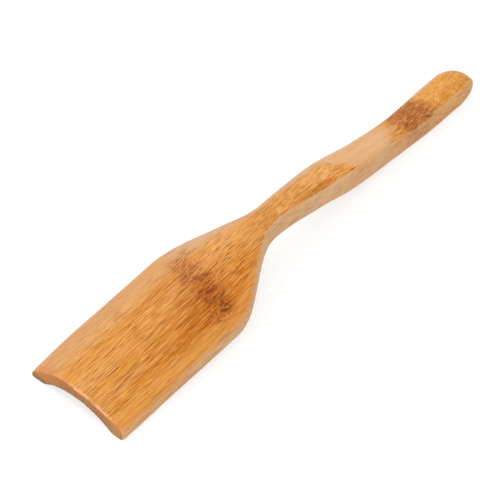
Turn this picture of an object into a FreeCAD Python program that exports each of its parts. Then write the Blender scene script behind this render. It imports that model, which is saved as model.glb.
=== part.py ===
"""Bamboo tea scoop, carved from one strip of a thick culm wall.

The scoop lies as it is put down on a table: its rounded back faces up, its hollow faces the table,
and it rests on the two front corners of the blade and on a flat under the handle.
X runs from the blade's front edge to the handle's end, Y across and Z up.
The origin is on the table, under the middle of the scoop. Lengths are in millimetres.
"""
import FreeCAD, Part
import math
import os

from FreeCAD import Vector

# Plan: lengths one after another, from the front edge to the handle's end
blade_length = 52.5
shoulder_length = 34.5
neck_to_hump_length = 27.0
hump_to_waist_length = 28.0
waist_to_butt_length = 23.0
butt_length = 15.0

neck_place = blade_length + shoulder_length
hump_place = neck_place + neck_to_hump_length
waist_place = hump_place + hump_to_waist_length
butt_place = waist_place + waist_to_butt_length
overall_length = butt_place + butt_length

# Widths
front_width = 38.2
shoulder_width = 37.0
neck_width = 9.2
hump_width = 11.8
waist_width = 9.8
butt_width = 11.1

# How far the handle's middle strays from the blade's middle, towards +Y
neck_sway = 0.6
waist_sway = -1.1
butt_sway = -1.1

# Heights of the back's crown above the table, and where they lie against the plan
front_crown_height = 9.3
shoulder_crown_height = 13.0
rise_before_neck = 7.0
rise_crown_height = 17.2
crest_before_hump = 6.0
crest_crown_height = 15.7
slope_before_waist = 14.0
slope_crown_height = 12.2
low_after_waist = 12.0
low_crown_height = 9.3
butt_crown_height = 9.6

# Heights of the underside above the table, and where they lie against the plan
heel_after_blade = 3.5
heel_height = 2.2
arch_before_neck = 6.0
arch_height = 7.6
saddle_before_hump = 9.0
saddle_height = 6.2
fall_before_waist = 16.0
fall_height = 2.2
land_after_waist = 11.0
butt_underside_height = 0.5

# Wood planed off where the scoop rests: under the handle and under the blade's front corners
land_depth = 0.15
foot_depth = 0.15

# Section: roundness of the back and its long edges, and the flats planed off the lower edges
crown_radius_share = 2.1
blade_edge_radius = 4.5
handle_edge_radius = 2.1
rim_flat_leg = 0.8
handle_flat_leg = 1.4
greatest_edge_share = 0.3

# Hollow of the blade, cut with a gouge that runs along it and climbs out before the neck
gouge_radius = 24.0
front_hollow_depth = 5.0
back_hollow_depth = 5.9
runout_before_blade_end = 8.5
runout_length = 27.0
runout_margin = 2.5
gouge_overrun = 6.0

# Rounding of the two ends
front_corner_radius = 1.3
front_edge_radius = 0.5
nose_length = 9.5
nose_shift = -0.8
nose_drop_share = 0.84
nose_lift_share = 0.15
nose_flat_share = 0.45

# Sections: even steps along the handle, and closer together where an end rounds over
handle_steps = 28
front_section_shares = [0.0, 0.3, 0.7, 1.0]
nose_section_shares = [0.0, 0.22, 0.42, 0.6, 0.76, 0.89, 0.97, 1.0]


def ease(share):
    """Smooth step from 0 to 1."""
    return share * share * (3 - 2 * share)


def smooth_line(keys, place):
    """Height at a place, on a smooth curve through keys of (place, value) with a straight first stretch."""
    index = max(i for i in range(len(keys) - 1) if keys[i][0] <= place)
    start, end = keys[index], keys[index + 1]
    span = end[0] - start[0]
    share = (place - start[0]) / span
    start_slope = key_slope(keys, index)
    end_slope = key_slope(keys, index + 1)
    rise = end[1] - start[1]
    bend_in = start_slope * span - rise
    bend_out = rise - end_slope * span
    return start[1] + share * rise + share * (1 - share) * ((1 - share) * bend_in + share * bend_out)


def key_slope(keys, index):
    """Slope of the smooth curve at one of its keys: level where the keys turn back."""
    if index <= 1:
        return segment_slope(keys, 0)
    if index == len(keys) - 1:
        return segment_slope(keys, index - 1)
    before, after = segment_slope(keys, index - 1), segment_slope(keys, index)
    if before * after <= 0:
        return 0.0
    return 2 * before * after / (before + after)


def segment_slope(keys, index):
    """Slope of the straight line from one key to the next."""
    return (keys[index + 1][1] - keys[index][1]) / (keys[index + 1][0] - keys[index][0])


def eased_line(keys, place):
    """Value at a place, eased from key to key, so that it runs level at each (place, value)."""
    if place <= keys[0][0]:
        return keys[0][1]
    index = max(i for i in range(len(keys) - 1) if keys[i][0] <= place)
    start, end = keys[index], keys[index + 1]
    return start[1] + (end[1] - start[1]) * ease((place - start[0]) / (end[0] - start[0]))


def half_width(place):
    """Half the scoop's width, before the ends are rounded."""
    if place <= blade_length:
        return (front_width + (shoulder_width - front_width) * place / blade_length) / 2
    keys = [
        (blade_length, shoulder_width),
        (neck_place, neck_width),
        (hump_place, hump_width),
        (waist_place, waist_width),
        (butt_place, butt_width),
        (overall_length, butt_width),
    ]
    return eased_line(keys, place) / 2


def crown_height(place):
    """Height of the back's middle line above the table."""
    keys = [
        (0.0, front_crown_height),
        (blade_length, shoulder_crown_height),
        (neck_place - rise_before_neck, rise_crown_height),
        (hump_place - crest_before_hump, crest_crown_height),
        (waist_place - slope_before_waist, slope_crown_height),
        (waist_place + low_after_waist, low_crown_height),
        (overall_length, butt_crown_height),
    ]
    return smooth_line(keys, place)


def underside_height(place):
    """Height of the underside, which is the rims' height on the blade."""
    keys = [
        (0.0, -foot_depth),
        (blade_length + heel_after_blade, heel_height),
        (neck_place - arch_before_neck, arch_height),
        (hump_place - saddle_before_hump, saddle_height),
        (waist_place - fall_before_waist, fall_height),
        (waist_place + land_after_waist, -land_depth),
        (overall_length, butt_underside_height),
    ]
    return smooth_line(keys, place)


def sway(place):
    """Sideways place of the scoop's middle line."""
    keys = [
        (blade_length, 0.0),
        (neck_place, neck_sway),
        (waist_place, waist_sway),
        (overall_length, butt_sway),
    ]
    return eased_line(keys, place)


def handle_share(place):
    """0 on the blade, 1 on the handle, with a smooth change along the shoulders."""
    return ease(min(max((place - blade_length) / shoulder_length, 0.0), 1.0))


def section(place, inset=0.0, lowered=0.0, lifted=0.0, narrowed=1.0, shift=0.0):
    """Closed outline across the scoop at one place.

    inset draws the whole outline in by a length. The others round the handle's end: lowered and
    lifted are the shares of the height that the top and the underside give up, narrowed is the share
    of the width that is left, and shift moves what is left sideways by a length.
    """
    low = underside_height(place) + inset
    high = crown_height(place) - inset
    top = high - (high - low) * lowered
    bottom = low + (high - low) * lifted
    height = top - bottom
    half = half_width(place) * narrowed - inset

    blend = handle_share(place)
    greatest_edge = min(greatest_edge_share * height, half / 2)
    edge_radius = min(blade_edge_radius + (handle_edge_radius - blade_edge_radius) * blend, greatest_edge)
    flat_leg = min(rim_flat_leg + (handle_flat_leg - rim_flat_leg) * blend, greatest_edge)

    # The crown's arc touches the edge's arc, which ends upright on the scoop's side
    crown_radius = crown_radius_share * half
    crown_centre = top - crown_radius
    edge_y = half - edge_radius
    reach = crown_radius - edge_radius
    edge_rise = math.sqrt(reach * reach - edge_y * edge_y)
    edge_z = crown_centre + edge_rise
    touch_y = edge_y * crown_radius / reach
    touch_z = crown_centre + edge_rise * crown_radius / reach
    half_turn = math.atan2(edge_rise, edge_y) / 2
    mid_y = edge_y + edge_radius * math.cos(half_turn)
    mid_z = edge_z + edge_radius * math.sin(half_turn)

    x = place - overall_length / 2
    middle_y = sway(place) + shift

    def at(y, z):
        return Vector(x, middle_y + y, z)

    edges = [
        Part.LineSegment(at(-half + flat_leg, bottom), at(half - flat_leg, bottom)),
        Part.LineSegment(at(half - flat_leg, bottom), at(half, bottom + flat_leg)),
        Part.LineSegment(at(half, bottom + flat_leg), at(half, edge_z)),
        Part.Arc(at(half, edge_z), at(mid_y, mid_z), at(touch_y, touch_z)),
        Part.Arc(at(touch_y, touch_z), at(0.0, top), at(-touch_y, touch_z)),
        Part.Arc(at(-touch_y, touch_z), at(-mid_y, mid_z), at(-half, edge_z)),
        Part.LineSegment(at(-half, edge_z), at(-half, bottom + flat_leg)),
        Part.LineSegment(at(-half, bottom + flat_leg), at(-half + flat_leg, bottom)),
    ]
    return Part.Wire([edge.toShape() for edge in edges])


def front_sections():
    """Sections that round the blade's front edge and its two corners."""
    sections = []
    for share in front_section_shares:
        fall = 1 - math.sqrt(1 - (1 - share) * (1 - share))
        sections.append(section(share * front_corner_radius, inset=front_edge_radius * fall))
    return sections


def blade_sections():
    """Sections of the blade, which runs straight from the front's rounding to the shoulders."""
    return [section(front_corner_radius), section(blade_length)]


def handle_sections():
    """Sections of the shoulders, the neck and the handle, up to the rounded end."""
    length = overall_length - nose_length - blade_length
    return [section(blade_length + length * step / handle_steps) for step in range(handle_steps + 1)]


def nose_sections():
    """Sections of the handle's end, which rounds down and in to a small flat set off to one side."""
    sections = []
    start = overall_length - nose_length
    for share in nose_section_shares:
        left = math.sqrt(1 - share * share * (1 - nose_flat_share * nose_flat_share))
        gone = 1 - left
        sections.append(section(
            start + share * nose_length,
            lowered=nose_drop_share * gone,
            lifted=nose_lift_share * gone,
            narrowed=left,
            shift=nose_shift * gone / (1 - nose_flat_share),
        ))
    return sections


def body():
    """The outside of the scoop, lofted in four stretches that follow one another."""
    stretches = [front_sections(), blade_sections(), handle_sections(), nose_sections()]
    lofts = [Part.makeLoft(sections, True, False) for sections in stretches]
    return lofts[0].fuse(lofts[1:])


def hollow():
    """The gouge's cut: a round channel that runs in from the front and rises out before the neck."""
    rim_climb = heel_height + foot_depth + back_hollow_depth - front_hollow_depth
    tilt = rim_climb / (blade_length + heel_after_blade)
    axis_angle = math.atan(tilt)
    front_axis_z = front_hollow_depth - foot_depth - gouge_radius
    runout_place = blade_length - runout_before_blade_end
    runout_fall = back_hollow_depth + runout_margin
    run_radius = (runout_length * runout_length + runout_fall * runout_fall) / (2 * runout_fall)
    middle_along = runout_length / 2
    middle_climb = run_radius - math.sqrt(run_radius * run_radius - middle_along * middle_along)
    middle_radius = gouge_radius - middle_climb
    end_radius = gouge_radius - runout_fall

    def at(along, out):
        return Vector(along, 0.0, out)

    start = at(-gouge_overrun, gouge_radius)
    straight_end = at(runout_place, gouge_radius)
    run_middle = at(runout_place + middle_along, middle_radius)
    run_end = at(runout_place + runout_length, end_radius)
    outline = Part.Wire([
        Part.LineSegment(at(-gouge_overrun, 0.0), start).toShape(),
        Part.LineSegment(start, straight_end).toShape(),
        Part.Arc(straight_end, run_middle, run_end).toShape(),
        Part.LineSegment(run_end, at(runout_place + runout_length, 0.0)).toShape(),
        Part.LineSegment(at(runout_place + runout_length, 0.0), at(-gouge_overrun, 0.0)).toShape(),
    ])
    cutter = Part.Face(outline).revolve(Vector(0, 0, 0), Vector(1, 0, 0), 360)
    cutter.rotate(Vector(0, 0, 0), Vector(0, 1, 0), -math.degrees(axis_angle))
    cutter.translate(Vector(-overall_length / 2, 0, front_axis_z))
    return cutter


def table():
    """What lies under the table's plane: cutting it away leaves the flats that the scoop rests on."""
    depth = front_crown_height
    slab = Part.makeBox(overall_length * 2, front_width * 2, depth)
    slab.translate(Vector(-overall_length, -front_width, -depth))
    return slab


def scoop():
    """The whole scoop."""
    return body().cut(table()).cut(hollow())


os.makedirs("parts", exist_ok=True)
shape = scoop()
shape.exportStep("parts/scoop.step")
print("volume", round(shape.Volume), "mm3, solids", len(shape.Solids), "valid", shape.isValid())
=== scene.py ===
"""Looks of a carved bamboo tea scoop, lying hollow side down on a pale floor."""

import logging
import math
from dataclasses import dataclass
from enum import Enum
from typing import Any, Union

import bpy
import numpy as np
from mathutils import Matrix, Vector, noise


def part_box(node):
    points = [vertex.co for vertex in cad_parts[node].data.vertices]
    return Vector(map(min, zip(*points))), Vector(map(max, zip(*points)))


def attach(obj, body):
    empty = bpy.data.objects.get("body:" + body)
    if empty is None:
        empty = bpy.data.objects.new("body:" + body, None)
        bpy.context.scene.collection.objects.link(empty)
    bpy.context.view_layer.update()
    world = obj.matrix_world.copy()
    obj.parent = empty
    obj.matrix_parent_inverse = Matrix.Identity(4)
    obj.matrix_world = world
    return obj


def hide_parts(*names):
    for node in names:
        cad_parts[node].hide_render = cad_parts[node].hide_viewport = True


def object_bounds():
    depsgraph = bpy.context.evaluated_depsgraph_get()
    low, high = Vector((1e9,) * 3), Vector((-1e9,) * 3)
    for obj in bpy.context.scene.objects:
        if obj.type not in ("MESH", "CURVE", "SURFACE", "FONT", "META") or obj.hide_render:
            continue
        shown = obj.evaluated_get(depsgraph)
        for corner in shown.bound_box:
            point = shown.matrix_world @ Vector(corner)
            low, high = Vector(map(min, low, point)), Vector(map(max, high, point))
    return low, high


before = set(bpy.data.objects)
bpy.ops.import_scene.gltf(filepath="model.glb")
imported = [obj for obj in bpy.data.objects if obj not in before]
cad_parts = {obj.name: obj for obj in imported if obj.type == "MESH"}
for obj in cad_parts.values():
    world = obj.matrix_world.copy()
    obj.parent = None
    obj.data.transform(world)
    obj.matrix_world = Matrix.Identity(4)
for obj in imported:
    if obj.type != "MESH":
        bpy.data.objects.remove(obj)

MILLIMETRE = 0.001
CAD_BOX = [list(corner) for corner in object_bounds()]
FRONT_TO_MIDDLE = -CAD_BOX[0][0] / MILLIMETRE

Colour = tuple[float, float, float, float]
Place = tuple[float, float, float]
WHITE: Colour = (1.0, 1.0, 1.0, 1.0)
NOISE_MIDDLE = 0.5

# A screen's levels follow this curve, which has a straight toe.
SCREEN_FULL = 255
SCREEN_TOE = 0.04045
SCREEN_TOE_SLOPE = 12.92
SCREEN_OFFSET = 0.055
SCREEN_POWER = 2.4

# The Mix node's colour sockets share their names with its number sockets, so they go by number.
MIX_FACTOR = 0
MIX_UNDER = 6
MIX_OVER = 7
MIX_RESULT = 2

log = logging.getLogger("tea_scoop")


def screen_colour(red: float, green: float, blue: float) -> Colour:
    """Turn a colour as a screen shows it into the linear colour that a shader takes.

    Args:
        red: Red, 0 to 255.
        green: Green, 0 to 255.
        blue: Blue, 0 to 255.

    Returns:
        Linear red, green, blue and an alpha of one.
    """
    linear = []
    for level in (red, green, blue):
        share = level / SCREEN_FULL
        curved = ((share + SCREEN_OFFSET) / (1 + SCREEN_OFFSET)) ** SCREEN_POWER
        linear.append(share / SCREEN_TOE_SLOPE if share <= SCREEN_TOE else curved)
    return linear[0], linear[1], linear[2], 1.0


class Tint(Enum):
    """The colours of the bamboo and of the marks on it."""

    HONEY = screen_colour(222, 147, 60)
    PALE_HONEY = screen_colour(229, 162, 88)
    # ROSY_HONEY and SANDED_LEFT are painted sheen on the left side, over sanded pale wood at its rim.
    ROSY_HONEY = screen_colour(220, 161, 106)
    # AMBER serves as painted shade right of the blade's crown, and as the wood's deeper tone at the neck
    # and the handle's end.
    AMBER = screen_colour(200, 116, 10)
    TOASTED = screen_colour(184, 92, 0)
    FIBRE_SHADOW = screen_colour(150, 72, 0)
    FIBRE_LIGHT = screen_colour(255, 196, 120)
    BUNDLE_BROWN = screen_colour(120, 52, 0)
    SANDED_LEFT = screen_colour(221, 176, 136)
    SANDED_RIGHT = screen_colour(229, 184, 138)
    GOLDEN_RIM = screen_colour(232, 160, 80)
    # SMOOTH_PALE is the smooth stretch's paler wood with painted sheen, where it slopes towards the light.
    SMOOTH_PALE = screen_colour(229, 185, 142)
    SCAR_ROSE = screen_colour(196, 108, 60)
    SCAR_ORANGE = screen_colour(190, 98, 14)
    SCAR_BROWN = screen_colour(118, 48, 0)
    HANDLE_WASH = screen_colour(180, 104, 52)
    EMBER = screen_colour(216, 108, 40)
    OLIVE_BROWN = screen_colour(180, 108, 14)
    # END_GRAIN is end grain darkened partly as painted shade; PITH is both the pith specks and the painted
    # shade along the face's lower edge.
    END_GRAIN = screen_colour(200, 128, 58)
    PITH = screen_colour(100, 88, 46)
    WORN_CORNER = screen_colour(212, 146, 80)
    # ARRIS_LIGHT is a painted highlight along the front arris.
    ARRIS_LIGHT = screen_colour(255, 192, 142)


class Sum(Enum):
    """The sums that a Math node works."""

    ADD = "ADD"
    SUBTRACT = "SUBTRACT"
    MULTIPLY = "MULTIPLY"
    DIVIDE = "DIVIDE"
    DROP_SIGN = "ABSOLUTE"
    LARGER = "MAXIMUM"


class Ray(Enum):
    """The rays that show a background, where all others only light the object."""

    CAMERA = "Is Camera Ray"
    GLOSSY = "Is Glossy Ray"
    TRANSMISSION = "Is Transmission Ray"


def plain(option: Any) -> Any:
    """Give the value of an Enum's option, and anything else as it is."""
    return option.value if isinstance(option, Enum) else option


class Wire:
    """One output socket, so that sums of shader values read as plain sums."""

    def __init__(self, bench: "ShaderBench", socket: bpy.types.NodeSocket) -> None:
        """Keep the socket and the bench that it lies on."""
        self.bench = bench
        self.socket = socket

    def __add__(self, other: "Value") -> "Wire":
        """Add a value."""
        return self.bench.math(Sum.ADD, self, other)

    def __sub__(self, other: "Value") -> "Wire":
        """Take a value away."""
        return self.bench.math(Sum.SUBTRACT, self, other)

    def __rsub__(self, other: "Value") -> "Wire":
        """Take this away from a value."""
        return self.bench.math(Sum.SUBTRACT, other, self)

    def __mul__(self, other: "Value") -> "Wire":
        """Multiply by a value."""
        return self.bench.math(Sum.MULTIPLY, self, other)

    def __truediv__(self, other: "Value") -> "Wire":
        """Divide by a value."""
        return self.bench.math(Sum.DIVIDE, self, other)

    def __rtruediv__(self, other: "Value") -> "Wire":
        """Divide a value by this."""
        return self.bench.math(Sum.DIVIDE, other, self)

    def __abs__(self) -> "Wire":
        """Drop the sign."""
        return self.bench.math(Sum.DROP_SIGN, self)

    def __or__(self, other: "Value") -> "Wire":
        """Take the larger of two masks."""
        return self.bench.math(Sum.LARGER, self, other)

    __radd__ = __add__
    __rmul__ = __mul__
    __ror__ = __or__


Value = Union[Wire, float]
Paint = Union[Wire, Tint]


class ShaderBench:
    """The node tree of one material or world, and the few ways to add to it."""

    def __init__(self, tree: bpy.types.NodeTree) -> None:
        """Take a node tree and empty it."""
        self.tree = tree
        self.tree.nodes.clear()

    def node(self, kind: str, settings: dict[str, Any] | None = None,
             inputs: dict[str | int, Any] | None = None) -> bpy.types.Node:
        """Add a node.

        Args:
            kind: The node's type.
            settings: Its own settings, made before its sockets are filled.
            inputs: Values or wires for its sockets, by name or number.

        Returns:
            The new node.
        """
        made = self.tree.nodes.new(kind)
        for name, setting in (settings or {}).items():
            setattr(made, name, plain(setting))
        for key, value in (inputs or {}).items():
            if isinstance(value, Wire):
                self.tree.links.new(value.socket, made.inputs[key])
            else:
                made.inputs[key].default_value = plain(value)
        return made

    def out(self, kind: str, settings: dict[str, Any] | None = None,
            inputs: dict[str | int, Any] | None = None, output: str | int = 0) -> Wire:
        """Add a node and take one of its outputs.

        Args:
            kind: The node's type.
            settings: Its own settings.
            inputs: Values or wires for its sockets.
            output: The name or number of the output.

        Returns:
            The wire from that output.
        """
        return Wire(self, self.node(kind, settings, inputs).outputs[output])

    def wires(self, node: bpy.types.Node, *outputs: str | int) -> list[Wire]:
        """Take several outputs of a node, by name or number."""
        return [Wire(self, node.outputs[output]) for output in outputs]

    def math(self, what: Sum, *values: Value) -> Wire:
        """Work one sum on one or two values."""
        return self.out("ShaderNodeMath", {"operation": what}, dict(enumerate(values)))

    def mix(self, factor: Value, under: Paint, over: Paint) -> Wire:
        """Lay one colour over another, as strongly as the factor says."""
        return self.out("ShaderNodeMix", {"data_type": "RGBA"},
                        {MIX_FACTOR: factor, MIX_UNDER: under, MIX_OVER: over}, MIX_RESULT)

    def stain(self, colour: Paint, *stains: tuple[Value, Paint]) -> Paint:
        """Lay several colours over one another.

        Args:
            colour: The colour below them all.
            stains: How much of each colour shows and the colour, from the lowest up.

        Returns:
            The stained colour.
        """
        for factor, over in stains:
            colour = self.mix(factor, colour, over)
        return colour

    def seen_rays(self) -> Wire:
        """Tell the rays that show a background from those that only light the object.

        Returns:
            One for a ray that shows a background, and zero for any other.
        """
        path = self.node("ShaderNodeLightPath")
        camera, glossy, transmission = self.wires(path, *(ray.value for ray in Ray))
        return camera | glossy | transmission


@dataclass(frozen=True)
class Rise:
    """A smooth change of level while some measure goes from the start to the end, up or down.

    before is the level before the start, and after is the level past the end.
    """

    start: float
    end: float
    before: float = 0.0
    after: float = 1.0

    def at(self, measure: Wire) -> Wire:
        """Read the level.

        Args:
            measure: What is measured.

        Returns:
            The level at this measure.
        """
        return measure.bench.out("ShaderNodeMapRange", {"interpolation_type": "SMOOTHSTEP"},
                                 {"Value": measure, "From Min": self.start, "From Max": self.end,
                                  "To Min": self.before, "To Max": self.after})


@dataclass(frozen=True)
class Span:
    """A stretch of some measure. Its ends are where it has faded to half."""

    start: float
    end: float
    soft: float

    def mask(self, measure: Wire) -> Wire:
        """Mask the stretch.

        Args:
            measure: What is measured.

        Returns:
            One inside the stretch and zero outside.
        """
        half = self.soft / 2
        begun = Rise(self.start - half, self.start + half)
        lasts = Rise(self.end + half, self.end - half)
        return begun.at(measure) * lasts.at(measure)


@dataclass(frozen=True)
class Whereabouts:
    """Where on the scoop a shaded point lies, in millimetres, and which way it faces.

    place is measured from the front edge, across from the middle line and height from the table, and
    point holds all three. Left, as the handle points away, is positive. side is across as a share of
    half the width there. on_blade and on_left are masks.
    """

    bench: ShaderBench
    point: Wire
    place: Wire
    across: Wire
    height: Wire
    side: Wire
    faces_x: Wire
    faces_up: Wire
    on_blade: Wire
    on_left: Wire


@dataclass(frozen=True)
class Area:
    """A stretch along the scoop by a stretch across it."""

    along: Span
    across: Span

    def mask(self, where: Whereabouts) -> Wire:
        """Give one inside the area and zero outside."""
        return self.along.mask(where.place) * self.across.mask(where.across)


@dataclass(frozen=True)
class Grain:
    """A noise that is drawn out along the fibres.

    along is what a millimetre of length counts as, where one across counts as one, and deep is the
    same for height. shift sets two grains apart, and swirl bends one.
    """

    per_mm: float
    along: float
    shift: float
    detail: float = 1.0
    rough: float = 0.5
    swirl: float = 0.0
    deep: float = 0.35

    def stretched(self, where: Whereabouts) -> Wire:
        """Squeeze the place so that what is read there runs out into fibres.

        Args:
            where: The point's place.

        Returns:
            The squeezed place.
        """
        return where.bench.out("ShaderNodeMapping", {"vector_type": "POINT"},
                               {"Vector": where.point, "Location": (self.shift,) * 3,
                                "Scale": (self.along, 1.0, self.deep)})

    def read(self, where: Whereabouts) -> Wire:
        """Read the noise.

        Args:
            where: The point's place.

        Returns:
            A value from 0 to 1, about one half on average.
        """
        return where.bench.out("ShaderNodeTexNoise", {"noise_dimensions": "3D"},
                               {"Vector": self.stretched(where), "Scale": self.per_mm,
                                "Detail": self.detail, "Roughness": self.rough, "Distortion": self.swirl})

    def sway(self, where: Whereabouts) -> Wire:
        """Read the noise as a swing to either side of zero."""
        return self.read(where) - NOISE_MIDDLE

    def patches(self, where: Whereabouts, edge: Rise) -> Wire:
        """Draw the patches where the noise has passed an edge."""
        return edge.at(self.read(where))

    def lines(self, where: Whereabouts, width: Rise) -> Wire:
        """Draw the thin lines where the noise passes its middle."""
        return width.at(abs(self.sway(where)))


@dataclass(frozen=True)
class WoodGround:
    """The wood's own colour under its fibres, in broad lengthwise drifts, with painted sheen paling the
    left side and painted shade darkening the blade right of its crown.
    """

    drift: Grain = Grain(per_mm=0.22, along=0.06, shift=0.0, detail=2.0)
    drift_edge: Rise = Rise(0.35, 0.65)
    left_sheen_share: Rise = Rise(0.3, 0.95, 0.0, 0.85)
    right_shade: Rise = Rise(4.0, -9.0)
    right_wander: float = 4.0
    right_shade_along: Rise = Rise(8.0, 42.0, 0.3, 0.9)
    neck: Span = Span(78.0, 104.0, 12.0)
    neck_depth: float = 0.35
    toast: Area = Area(Span(41.0, 60.0, 14.0), Span(-15.0, 7.0, 9.0))
    toast_cloud: Grain = Grain(per_mm=0.3, along=0.12, shift=41.0, detail=2.0)
    toast_depth: Rise = Rise(0.4, 0.62, 0.35, 0.6)
    golden_end: Rise = Rise(132.0, 148.0, 0.0, 0.65)
    golden_end_side: Rise = Rise(-0.1, -0.9)

    def colour(self, where: Whereabouts, left_sheen_tone: Wire) -> Paint:
        """Tint the ground.

        Args:
            where: The point's place.
            left_sheen_tone: The tone of the left edge, a painted sheen.

        Returns:
            The ground colour.
        """
        drift = self.drift.patches(where, self.drift_edge)
        # Painted shade: amber right of the blade's crown, where the surface turns from the light, stronger
        # further from the front edge.
        right = self.right_shade.at(where.across + self.right_wander * (drift - NOISE_MIDDLE))
        right = right * where.on_blade * self.right_shade_along.at(where.place)
        toast = self.toast.mask(where) * self.toast_cloud.patches(where, self.toast_depth)
        end = self.golden_end.at(where.place) * self.golden_end_side.at(where.side)
        return where.bench.stain(Tint.PALE_HONEY,
                                 (drift, Tint.HONEY),
                                 # Painted sheen: the left side is laid paler and rosier, as light from the
                                 # back left makes it.
                                 (self.left_sheen_share.at(where.side), left_sheen_tone),
                                 (right, Tint.AMBER),
                                 (self.neck.mask(where.place) * self.neck_depth, Tint.AMBER),
                                 (toast, Tint.TOASTED),
                                 (end, Tint.AMBER))


@dataclass(frozen=True)
class FibreSet:
    """One grain of fibres, and how strongly it shows on the blade and on the handle."""

    grain: Grain
    on_blade: float
    on_handle: float


@dataclass(frozen=True)
class Fibres:
    """The fine fibres, in long lines and short dashes that are shorter on the handle."""

    long_lines: FibreSet = FibreSet(
        Grain(per_mm=2.9, along=0.005, shift=0.0, detail=1.0, rough=0.6), on_blade=0.7, on_handle=0.28)
    short_dashes: FibreSet = FibreSet(
        Grain(per_mm=2.9, along=0.055, shift=31.0, detail=1.0, rough=0.6), on_blade=1.0, on_handle=0.8)
    handle_dashes: FibreSet = FibreSet(
        Grain(per_mm=2.7, along=0.15, shift=43.0, detail=1.0, rough=0.6), on_blade=0.0, on_handle=1.0)
    handle_start: float = 70.0
    handle_full: float = 86.0
    dark_line: Rise = Rise(0.585, 0.645)
    dark_on_handle: float = 0.7
    pale_line: Rise = Rise(0.425, 0.365)
    pale_on_handle: float = 1.35
    calmer_left: Rise = Rise(0.8, 0.1, 0.65, 1.0)
    calmer_end: Rise = Rise(156.0, 164.0, 1.0, 0.6)

    def level(self, where: Whereabouts, on_blade: float, on_handle: float) -> Wire:
        """Pass from the blade's level to the handle's."""
        return Rise(self.handle_start, self.handle_full, on_blade, on_handle).at(where.place)

    def lines(self, where: Whereabouts) -> tuple[Wire, Wire]:
        """Draw the fibres.

        Args:
            where: The point's place.

        Returns:
            How dark each dark fibre is, and how light each light one.
        """
        dark, pale = 0.0, 0.0
        for fibres in (self.long_lines, self.short_dashes, self.handle_dashes):
            grain = fibres.grain.read(where)
            strength = self.level(where, fibres.on_blade, fibres.on_handle)
            dark = dark | self.dark_line.at(grain) * strength
            pale = pale | self.pale_line.at(grain) * strength
        calm = self.calmer_left.at(where.side) * self.calmer_end.at(where.place)
        dark = dark * calm * self.level(where, 1.0, self.dark_on_handle)
        pale = pale * calm * self.level(where, 1.0, self.pale_on_handle)
        return dark, pale

    def light_dashes(self, where: Whereabouts) -> Wire:
        """Draw the handle's own light fibres at full strength."""
        return self.handle_dashes.grain.patches(where, self.pale_line)


@dataclass(frozen=True)
class Bundles:
    """The dark bundles, which a sloping surface cuts into dashes."""

    cells: Grain = Grain(per_mm=1.6, along=0.034, shift=7.0, deep=0.5)
    width: Rise = Rise(0.3, 0.14)
    choice: Rise = Rise(0.5, 0.78)
    to_right: Rise = Rise(0.75, -0.1, 0.2, 1.0)
    crowded_neck: Span = Span(80.0, 107.0, 8.0)
    wider_at_neck: float = 0.05
    more_at_neck: float = 0.1

    def dashes(self, where: Whereabouts) -> Wire:
        """Draw the bundles.

        Args:
            where: The point's place.

        Returns:
            How much of a bundle shows.
        """
        bench = where.bench
        cells = bench.node("ShaderNodeTexVoronoi", {"voronoi_dimensions": "3D", "feature": "F1"},
                           {"Vector": self.cells.stretched(where), "Scale": self.cells.per_mm})
        distance, colour = bench.wires(cells, "Distance", "Color")
        chance = bench.out("ShaderNodeSeparateColor", {}, {0: colour})
        neck = self.crowded_neck.mask(where.place)
        near = self.width.at(distance - self.wider_at_neck * neck)
        chosen = self.choice.at(chance + self.more_at_neck * neck)
        return near * chosen * self.to_right.at(where.side)


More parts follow.
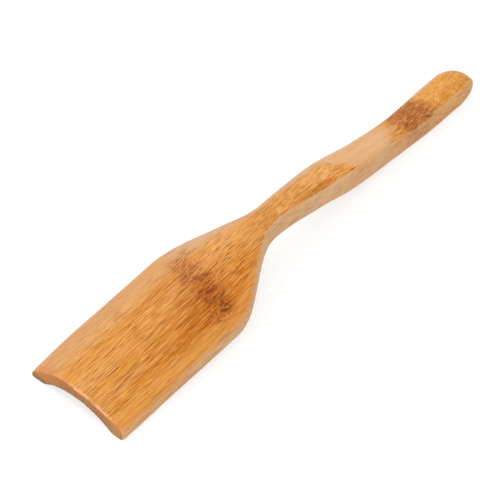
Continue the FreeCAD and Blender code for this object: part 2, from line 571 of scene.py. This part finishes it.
@dataclass(frozen=True)
class Sanding:
    """The edges and flanks, sanded smooth and pale, with painted sheen on the left, and the smooth stretch
    behind the handle's hump, pale partly as painted sheen.
    """

    flank_cloud: Grain = Grain(per_mm=0.3, along=0.2, shift=3.0, detail=2.0)
    flank_wander: float = 0.16
    flank_turn: Rise = Rise(0.86, 0.68)
    more_on_left: float = 0.1
    left_rim: Rise = Rise(0.55, 0.9, 0.0, 0.7)
    right_rim: Rise = Rise(-0.72, -0.92, 0.0, 0.75)
    less_at_end: Rise = Rise(126.0, 146.0, 1.0, 0.6)
    kept_on_left: float = 0.9
    smooth_cloud: Grain = Grain(per_mm=0.3, along=0.3, shift=19.0, detail=2.0)
    smooth_slant: float = 0.9
    smooth_start: Rise = Rise(116.6, 119.4)
    start_wander: float = 5.0
    smooth_end: Rise = Rise(146.0, 136.0, 0.0, 0.9)
    end_wander: float = 10.0
    smooth_sheen_on_top: Rise = Rise(0.8, 0.35, 1.0, 0.0)
    gold_on_top: Rise = Rise(0.8, 0.35, 1.0, 0.2)
    cover_cloud: Grain = Grain(per_mm=0.35, along=0.15, shift=83.0, detail=2.0)
    cover: Rise = Rise(0.35, 0.65, 0.65, 0.95)

    def flanks(self, where: Whereabouts) -> Wire:
        """Find the edges and flanks.

        Args:
            where: The point's place.

        Returns:
            One on the flanks, zero on the crown.
        """
        wander = self.flank_wander * self.flank_cloud.sway(where)
        turned = self.flank_turn.at(where.faces_up + wander - self.more_on_left * where.on_left)
        left_rim = self.left_rim.at(where.side + wander)
        right_rim = self.right_rim.at(where.side) * where.on_blade
        kept = self.less_at_end.at(where.place) | self.kept_on_left * where.on_left
        return (turned | left_rim | right_rim) * kept

    def smooth_stretch(self, where: Whereabouts) -> Wire:
        """Find the smooth stretch, which starts on a slant.

        Args:
            where: The point's place.

        Returns:
            Near one on that stretch.
        """
        wander = self.smooth_cloud.sway(where)
        slanted = where.place + self.smooth_slant * where.across
        begun = self.smooth_start.at(slanted + self.start_wander * wander)
        return begun * self.smooth_end.at(where.place + self.end_wander * wander)

    def over(self, where: Whereabouts, colour: Paint, left_sheen_tone: Wire, smooth: Wire, sanded: Wire) -> Wire:
        """Lay the sanded tones, with the painted sheen on the left and on the smooth stretch, over the
        wood.

        Args:
            where: The point's place.
            colour: The colour so far.
            left_sheen_tone: The tone of the left edge, sanded pale wood with painted sheen.
            smooth: Where the smooth stretch is.
            sanded: Where the surface is sanded at all.

        Returns:
            The colour with its sanded parts.
        """
        bench = where.bench
        gold = where.on_blade * self.gold_on_top.at(where.faces_up)
        tone = bench.stain(Tint.SANDED_RIGHT,
                           (gold, Tint.GOLDEN_RIM),
                           # The left edge: sanded pale wood with painted sheen.
                           (where.on_left, left_sheen_tone),
                           # Painted sheen on the top of the smooth stretch, over its paler sanded wood.
                           (smooth * self.smooth_sheen_on_top.at(where.faces_up), Tint.SMOOTH_PALE))
        return bench.mix(sanded * self.cover_cloud.patches(where, self.cover), colour, tone)


@dataclass(frozen=True)
class HandleMarks:
    """The brown streak along the handle's edge, its orange end, the neck's mark and the end's flecks."""

    crown: Rise = Rise(0.55, 0.8)
    above_flank: Rise = Rise(11.4, 12.6)
    streak: Area = Area(Span(98.0, 110.0, 7.0), Span(-5.6, -2.8, 1.4))
    streak_wash: float = 0.45
    streak_strokes: float = 0.45
    spot: Area = Area(Span(108.8, 112.6, 2.2), Span(-4.7, -3.5, 0.9))
    spot_wash: float = 0.75
    neck: Area = Area(Span(82.5, 88.5, 3.5), Span(-5.5, -1.2, 2.0))
    neck_wash: float = 0.18
    neck_strokes: float = 0.42
    flecks: Grain = Grain(per_mm=0.9, along=0.6, shift=91.0, detail=2.0, swirl=1.0)
    fleck_line: Rise = Rise(0.05, 0.005, 0.0, 0.45)
    fleck_along: Span = Span(157.0, 177.0, 4.0)

    def over(self, where: Whereabouts, colour: Paint, strokes: Wire) -> Paint:
        """Lay the marks over the wood.

        Args:
            where: The point's place.
            colour: The colour so far.
            strokes: The short strokes that the marks are partly made of.

        Returns:
            The colour with these marks.
        """
        crown = self.crown.at(where.faces_up)
        edge = crown * self.above_flank.at(where.height)
        streak = self.streak.mask(where) * edge * (self.streak_wash + self.streak_strokes * strokes)
        neck = self.neck.mask(where) * crown * (self.neck_wash + self.neck_strokes * strokes)
        flecks = self.flecks.lines(where, self.fleck_line) * self.fleck_along.mask(where.place)
        return where.bench.stain(colour,
                                 (streak, Tint.OLIVE_BROWN),
                                 (self.spot.mask(where) * edge * self.spot_wash, Tint.EMBER),
                                 (neck, Tint.OLIVE_BROWN),
                                 (flecks, Tint.FIBRE_LIGHT))


@dataclass(frozen=True)
class ScarBand:
    """The band that a node scar keeps to, which crosses the scoop on a slant and wanders."""

    along: Span
    slant: float
    cloud: Grain
    wander: float

    def mask(self, where: Whereabouts) -> Wire:
        """Give one in the band and zero outside."""
        wander = self.wander * self.cloud.sway(where)
        return self.along.mask(where.place + wander + self.slant * where.across)


@dataclass(frozen=True)
class NodeScars:
    """The two node scars: a wash of colour, then short strokes and swirling lines."""

    blade_band: ScarBand = ScarBand(
        Span(50.6, 58.4, 4.0), slant=-0.17, wander=6.0,
        cloud=Grain(per_mm=0.45, along=0.3, shift=3.0, detail=2.0))
    blade_across: Span = Span(-15.0, 12.0, 4.0)
    blade_fade: Rise = Rise(5.0, -6.0, 0.66, 1.0)
    blade_wash: float = 0.5
    handle_band: ScarBand = ScarBand(
        Span(145.0, 158.0, 5.0), slant=0.3, wander=8.0,
        cloud=Grain(per_mm=0.3, along=0.2, shift=17.0, detail=2.0))
    handle_top: Rise = Rise(0.3, 0.8, 0.2, 1.0)
    handle_wash: float = 0.75
    handle_strokes: Rise = Rise(3.0, -3.0, 0.4, 0.8)
    handle_dashes: float = 0.35
    stroke_depth: float = 0.85
    swirls: Grain = Grain(per_mm=0.6, along=0.55, shift=23.0, detail=2.0, swirl=1.6)
    swirl_line: Rise = Rise(0.05, 0.005, 0.0, 0.8)

    def over(self, where: Whereabouts, colour: Paint, strokes: Wire,
             light_dashes: Wire) -> tuple[Paint, Wire]:
        """Lay the scars over the wood.

        Args:
            where: The point's place.
            colour: The colour so far.
            strokes: The short dark strokes.
            light_dashes: The handle's light fibres, which cross its scar.

        Returns:
            The colour with its scars, and how dark each stroke is.
        """
        bench = where.bench
        blade = self.blade_band.mask(where) * self.blade_across.mask(where.across)
        blade = blade * self.blade_fade.at(where.across)
        handle = self.handle_band.mask(where) * self.handle_top.at(where.faces_up)
        drawn = strokes * self.stroke_depth | self.swirls.lines(where, self.swirl_line)
        dark = drawn * (blade | handle * self.handle_strokes.at(where.across))
        wash = bench.mix(where.on_left, Tint.SCAR_ORANGE, Tint.SCAR_ROSE)
        colour = bench.stain(colour,
                             (blade * self.blade_wash, wash),
                             (handle * self.handle_wash, Tint.HANDLE_WASH),
                             (dark, Tint.SCAR_BROWN),
                             (light_dashes * handle * self.handle_dashes, Tint.FIBRE_LIGHT))
        return colour, dark


@dataclass(frozen=True)
class FrontEdge:
    """The front edge: end grain on its arched face, darkened partly as painted shade, and a painted
    highlight along the arris above it.
    """

    face_turn: Rise = Rise(-0.5, -0.8)
    face_left: Rise = Rise(4.0, 13.0)
    face_right: Rise = Rise(-11.0, -16.0)
    worn_ends: float = 0.8
    specks: Grain = Grain(per_mm=1.0, along=1.0, shift=5.0, detail=2.0, rough=0.7, deep=1.0)
    speck_edge: Rise = Rise(0.48, 0.62, 0.0, 0.5)
    embers: Grain = Grain(per_mm=1.1, along=1.0, shift=61.0, detail=2.0, rough=0.6, deep=1.0)
    ember_edge: Rise = Rise(0.48, 0.62, 0.0, 0.75)
    lower_arris: Rise = Rise(0.02, -0.3)
    left_foot: Rise = Rise(3.2, 1.2)
    arch_top: float = 4.85
    arch_fall: float = 1 / 48
    above_arch: Rise = Rise(1.3, 0.4, 0.0, 0.6)
    lower_edge_shade: float = 0.6
    arris_rise: Rise = Rise(0.02, 0.3)
    arris_turn: Rise = Rise(-0.2, -0.45)
    arris_top: Span = Span(0.1, 0.7, 0.4)
    arris_across: Span = Span(-15.0, 3.0, 4.0)
    arris_highlight_cloud: Grain = Grain(per_mm=0.5, along=1.0, shift=13.0, detail=2.0, deep=1.0)
    highlight_cloud_edge: Rise = Rise(0.38, 0.55, 0.35, 1.0)
    arris_highlight_level: float = 0.75
    corner_along: Rise = Rise(4.0, 1.0)
    corner_across: Span = Span(10.0, 17.5, 3.0)
    corner_level: float = 0.35

    def end_grain(self, where: Whereabouts) -> Paint:
        """Tint the front face: end grain darkened partly as painted shade, with its specks, worn ends and
        a lower edge darkened as painted shade.

        Args:
            where: The point's place.

        Returns:
            The face's colour.
        """
        left = self.face_left.at(where.across)
        above = where.height - self.arch_top + self.arch_fall * where.across * where.across
        # Painted shade: the lower edge darkens where the face turns down, at the left foot and just above
        # the arch.
        low = self.lower_arris.at(where.faces_up) | self.left_foot.at(where.height) * left
        low = low | self.above_arch.at(above)
        worn = (self.face_right.at(where.across) | left) * self.worn_ends
        return where.bench.stain(Tint.END_GRAIN,
                                 (self.specks.patches(where, self.speck_edge), Tint.PITH),
                                 (worn, Tint.WORN_CORNER),
                                 (self.embers.patches(where, self.ember_edge) * left, Tint.EMBER),
                                 (low * self.lower_edge_shade, Tint.PITH))

    def over(self, where: Whereabouts, colour: Paint) -> Paint:
        """Lay the face, the painted highlight on its arris and its left corner over the wood.

        Args:
            where: The point's place.
            colour: The colour so far.

        Returns:
            The colour with its front edge.
        """
        face = self.face_turn.at(where.faces_x)
        turned = self.arris_rise.at(where.faces_up) * self.arris_turn.at(where.faces_x)
        # Painted highlight: a light line along the front arris, broken into patches.
        worn = self.arris_highlight_cloud.patches(where, self.highlight_cloud_edge) * self.arris_across.mask(where.across)
        arris = (turned | self.arris_top.mask(where.place) * (1 - face)) * worn
        corner = self.corner_along.at(where.place) * self.corner_across.mask(where.across) * (1 - face)
        return where.bench.stain(colour,
                                 (face, self.end_grain(where)),
                                 (arris * self.arris_highlight_level, Tint.ARRIS_LIGHT),
                                 (corner * self.corner_level, Tint.EMBER))


@dataclass(frozen=True)
class BambooFinish:
    """Oiled bamboo, rubbed to a satin, with its fibres, bundles, sanded flanks, marks and scars, and
    painted sheen, shade and arris highlight.
    """

    name: str = "oiled_bamboo"
    half_width: Rise = Rise(52.0, 86.0, 17.0, 5.0)
    blade: Rise = Rise(84.0, 64.0)
    left: Rise = Rise(-2.0, 3.0)
    paler_shoulder: Rise = Rise(50.0, 66.0)
    strokes: Grain = Grain(per_mm=1.25, along=0.28, shift=11.0, detail=2.0, rough=0.6)
    stroke_edge: Rise = Rise(0.52, 0.61)

    ground: WoodGround = WoodGround()
    sanding: Sanding = Sanding()
    fibres: Fibres = Fibres()
    bundles: Bundles = Bundles()
    handle_marks: HandleMarks = HandleMarks()
    scars: NodeScars = NodeScars()
    front_edge: FrontEdge = FrontEdge()

    sanded_away: float = 0.6
    smoothed_away: float = 0.85
    pale_strength: float = 0.42
    dark_strength: float = 0.62
    bundle_strength: float = 0.8

    roughness: float = 0.46
    fibre_roughness: float = 0.1
    sanded_smoothness: float = 0.06
    index_of_refraction: float = 1.45
    sheen_level: float = 0.22
    bundle_sink: float = 0.6
    fibre_sink: float = 0.5
    scar_sink: float = 0.3
    relief_depth: float = 0.12 * MILLIMETRE
    relief_strength: float = 0.5

    def make(self) -> bpy.types.Material:
        """Build the material.

        Returns:
            The material.
        """
        material = bpy.data.materials.new(self.name)
        material.use_nodes = True
        bench = ShaderBench(material.node_tree)
        where = self.whereabouts(bench)
        # Painted sheen of the left edge: rosier on the blade, paler from the shoulder back.
        left_sheen_tone = bench.mix(self.paler_shoulder.at(where.place), Tint.ROSY_HONEY, Tint.SANDED_LEFT)
        strokes = self.strokes.patches(where, self.stroke_edge)
        smooth = self.sanding.smooth_stretch(where)
        sanded = self.sanding.flanks(where) | smooth
        raw = 1 - (self.sanded_away * sanded | self.smoothed_away * smooth)
        dark, pale = self.fibres.lines(where)
        bundles = self.bundles.dashes(where)
        colour = self.ground.colour(where, left_sheen_tone)
        colour = self.sanding.over(where, colour, left_sheen_tone, smooth, sanded)
        colour = bench.stain(colour,
                             (pale * self.pale_strength * raw, Tint.FIBRE_LIGHT),
                             (dark * self.dark_strength * raw, Tint.FIBRE_SHADOW),
                             (bundles * self.bundle_strength * raw, Tint.BUNDLE_BROWN))
        colour = self.handle_marks.over(where, colour, strokes)
        colour, scar = self.scars.over(where, colour, strokes, self.fibres.light_dashes(where))
        colour = self.front_edge.over(where, colour)
        relief = bundles * -self.bundle_sink - dark * self.fibre_sink - scar * self.scar_sink
        bump = bench.out("ShaderNodeBump", {},
                         {"Strength": self.relief_strength, "Distance": self.relief_depth,
                          "Height": relief * raw}, "Normal")
        rough = self.roughness + self.fibre_roughness * dark - self.sanded_smoothness * sanded
        shader = bench.out("ShaderNodeBsdfPrincipled", {},
                           {"Base Color": colour, "Roughness": rough, "Normal": bump,
                            "IOR": self.index_of_refraction, "Specular IOR Level": self.sheen_level})
        bench.node("ShaderNodeOutputMaterial", {}, {"Surface": shader})
        return material

    def whereabouts(self, bench: ShaderBench) -> Whereabouts:
        """Read the point's place and facing.

        Args:
            bench: The material's bench.

        Returns:
            The readings.
        """
        position, normal = bench.wires(bench.node("ShaderNodeTexCoord"), "Object", "Normal")
        point = bench.out("ShaderNodeVectorMath", {"operation": "MULTIPLY_ADD"},
                          {0: position, 1: (1 / MILLIMETRE,) * 3, 2: (FRONT_TO_MIDDLE, 0.0, 0.0)})
        place, across, height = bench.wires(bench.node("ShaderNodeSeparateXYZ", {}, {0: point}), 0, 1, 2)
        faces_x, faces_up = bench.wires(bench.node("ShaderNodeSeparateXYZ", {}, {0: normal}), 0, 2)
        return Whereabouts(
            bench=bench, point=point, place=place, across=across, height=height,
            side=across / self.half_width.at(place), faces_x=faces_x, faces_up=faces_up,
            on_blade=self.blade.at(place), on_left=self.left.at(across))


@dataclass
class CarvedScoop:
    """The one piece of the object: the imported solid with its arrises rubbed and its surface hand-cut."""

    node_name: str = "scoop"
    piece_name: str = "carved_scoop"
    slot_name: str = "bamboo"
    body_name: str = "root"
    voxel: float = 0.42 * MILLIMETRE
    smoothing_passes: int = 3
    smoothing_share: float = 0.5
    facet_depth: float = 0.09 * MILLIMETRE
    facet_length: float = 11.0 * MILLIMETRE
    facet_width: float = 5.0 * MILLIMETRE
    corner_length: float = 16.0 * MILLIMETRE
    corner_width: float = 9.0 * MILLIMETRE
    corner_height: float = 4.0 * MILLIMETRE
    corner_drop: float = 2.4 * MILLIMETRE
    corner_reach: float = 0.6 * MILLIMETRE

    def build(self, finish: BambooFinish) -> bpy.types.Object:
        """Make the piece, dress it and stand it in for the node.

        Args:
            finish: The bamboo's finish.

        Returns:
            The finished piece.
        """
        piece = self.rubbed_copy(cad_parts[self.node_name])
        self.cut_by_hand(piece.data)
        piece.data.materials.clear()
        piece.data.materials.append(finish.make())
        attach(piece, self.body_name)
        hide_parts(self.node_name)
        return piece

    def rubbed_copy(self, node: bpy.types.Object) -> bpy.types.Object:
        """Copy the node in an even mesh whose sharp arrises are rubbed down.

        Args:
            node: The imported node.

        Returns:
            The new piece.
        """
        piece = bpy.data.objects.new(self.piece_name, node.data.copy())
        bpy.context.scene.collection.objects.link(piece)
        remesh = piece.modifiers.new("even_mesh", "REMESH")
        remesh.mode = "VOXEL"
        remesh.voxel_size = self.voxel
        remesh.use_smooth_shade = True
        smooth = piece.modifiers.new("rub_down", "SMOOTH")
        smooth.factor = self.smoothing_share
        smooth.iterations = self.smoothing_passes
        graph = bpy.context.evaluated_depsgraph_get()
        graph.update()
        mesh = bpy.data.meshes.new_from_object(piece.evaluated_get(graph))
        piece.modifiers.clear()
        piece.data = mesh
        mesh.name = self.piece_name
        return piece

    def cut_by_hand(self, mesh: bpy.types.Mesh) -> None:
        """Cut the slight facets, draw out the left corner and keep the piece in its box.

        Args:
            mesh: The piece's mesh, whose points move.
        """
        low, high = (np.array(corner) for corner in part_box(self.node_name))
        points = self.vertex_rows(mesh, "co")
        points = points + self.vertex_rows(mesh, "normal") * self.facet_heights(points)[:, None]
        points = np.clip(self.corner_drawn_out(points, low, high), low, high)
        mesh.vertices.foreach_set("co", points.ravel())
        mesh.update()

    def vertex_rows(self, mesh: bpy.types.Mesh, field: str) -> np.ndarray:
        """Read a vector of every vertex.

        Args:
            mesh: The mesh.
            field: The vector's name.

        Returns:
            One row of three for each vertex.
        """
        rows = np.empty((len(mesh.vertices), 3))
        mesh.vertices.foreach_get(field, rows.ravel())
        return rows

    def facet_heights(self, points: np.ndarray) -> np.ndarray:
        """Work out how far a hand-cut facet lifts or lowers each point.

        Args:
            points: The places of the points.

        Returns:
            One height for each point.
        """
        scale = np.array([1 / self.facet_length, 1 / self.facet_width, 1 / self.facet_width])
        return np.array([noise.noise(Vector(place)) for place in points * scale]) * self.facet_depth

    def corner_drawn_out(self, points: np.ndarray, low: np.ndarray, high: np.ndarray) -> np.ndarray:
        """Draw the left front corner down and out to a point.

        Args:
            points: The places of the points.
            low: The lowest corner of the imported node's box.
            high: Its highest corner.

        Returns:
            The moved points.
        """
        x, y, z = points.T
        near_front = np.clip(1 - (x - low[0]) / self.corner_length, 0, 1)
        near_left = np.clip(1 - (high[1] - y) / self.corner_width, 0, 1)
        weight = near_front ** 2 * near_left
        reach = weight ** 2 * self.corner_reach
        drop = weight * self.corner_drop * np.clip(z / self.corner_height, 0, 1)
        return np.column_stack((x - reach, y + reach, z - drop))


@dataclass(frozen=True)
class Lamp:
    """A soft square lamp that looks at the scoop, with its size in metres and its power in watts."""

    name: str
    place: Place
    size: float
    power: float

    def hang(self) -> None:
        """Hang the lamp in its place."""
        light = bpy.data.lights.new(self.name, "AREA")
        light.shape = "SQUARE"
        light.size = self.size
        light.energy = self.power
        lamp = bpy.data.objects.new(self.name, light)
        lamp.location = self.place
        lamp.rotation_mode = "QUATERNION"
        lamp.rotation_quaternion = (-Vector(self.place)).to_track_quat("-Z", "Y")
        bpy.context.scene.collection.objects.link(lamp)


@dataclass(frozen=True)
class Viewpoint:
    """Where the photograph was taken from, with its angles in degrees, and how it frames the scoop."""

    aim: Place = (-0.005, 0.0, 0.004)
    azimuth: float = -47.6
    elevation: float = 50.36
    distance: float = 1.5
    lens: float = 345.0
    sensor: float = 36.0
    aim_right_of_centre: float = 4.57 * MILLIMETRE
    aim_above_centre: float = 2.35 * MILLIMETRE

    def set_camera(self) -> None:
        """Stand the camera at the viewpoint."""
        turn, rise = math.radians(self.azimuth), math.radians(self.elevation)
        back = Vector((math.sin(turn) * math.cos(rise), -math.cos(turn) * math.cos(rise), math.sin(rise)))
        right = Vector((math.cos(turn), math.sin(turn), 0))
        up = back.cross(right)
        centre = Vector(self.aim) - right * self.aim_right_of_centre - up * self.aim_above_centre
        data = bpy.data.cameras.new("camera")
        data.sensor_width = self.sensor
        data.lens = self.lens
        camera = bpy.data.objects.new("camera", data)
        camera.location = centre + back * self.distance
        camera.rotation_mode = "QUATERNION"
        camera.rotation_quaternion = (-back).to_track_quat("-Z", "Y")
        bpy.context.scene.collection.objects.link(camera)
        bpy.context.scene.camera = camera


@dataclass
class Studio:
    """A plain pale floor, soft light and the camera."""

    floor_size: float = 6.0
    floor_tone: float = 0.5
    floor_glow: float = 0.64
    sky_level: float = 0.74
    key: Lamp = Lamp("key_light", place=(-0.25, 1.3, 1.5), size=0.9, power=12.0)
    fill: Lamp = Lamp("fill_light", place=(-0.9, -1.3, 1.0), size=1.2, power=8.4)
    viewpoint: Viewpoint = Viewpoint()

    def build(self) -> None:
        """Set the floor, the light, the camera and the plain view transform."""
        self.add_floor()
        self.add_sky()
        self.key.hang()
        self.fill.hang()
        self.viewpoint.set_camera()
        bpy.context.scene.view_settings.view_transform = "Standard"

    def add_floor(self) -> None:
        """Lay the floor on the table's level."""
        half = self.floor_size / 2
        corners = [(-half, -half, 0), (half, -half, 0), (half, half, 0), (-half, half, 0)]
        mesh = bpy.data.meshes.new("floor")
        mesh.from_pydata(corners, [], [(0, 1, 2, 3)])
        mesh.materials.append(self.floor_paint())
        floor = bpy.data.objects.new("floor", mesh)
        bpy.context.scene.collection.objects.link(floor)

    def floor_paint(self) -> bpy.types.Material:
        """Make the floor's matt paint, which glows to the eye so that it looks white.

        Returns:
            The material.
        """
        material = bpy.data.materials.new("pale_floor")
        material.use_nodes = True
        bench = ShaderBench(material.node_tree)
        matt = bench.out("ShaderNodeBsdfDiffuse", {}, {"Color": (self.floor_tone,) * 3 + (1.0,)})
        glow = self.floor_glow * bench.seen_rays()
        lit = bench.out("ShaderNodeEmission", {}, {"Color": WHITE, "Strength": glow})
        both = bench.out("ShaderNodeAddShader", {}, {0: matt, 1: lit})
        bench.node("ShaderNodeOutputMaterial", {}, {"Surface": both})
        return material

    def add_sky(self) -> None:
        """Light all sides softly, and show white behind the object."""
        world = bpy.data.worlds.new("soft_sky")
        world.use_nodes = True
        bench = ShaderBench(world.node_tree)
        level = self.sky_level + (1 - self.sky_level) * bench.seen_rays()
        sky = bench.out("ShaderNodeBackground", {}, {"Color": WHITE, "Strength": level})
        bench.node("ShaderNodeOutputWorld", {}, {"Surface": sky})
        bpy.context.scene.world = world


def main() -> None:
    """Build the scoop and the studio."""
    logging.basicConfig(level=logging.INFO, format="%(name)s: %(message)s")
    scoop = CarvedScoop().build(BambooFinish())
    log.info("%s: %d points", scoop.name, len(scoop.data.vertices))
    Studio().build()
    log.info("studio: floor, sky, two lamps and camera")


if __name__ == "__main__":
    main()
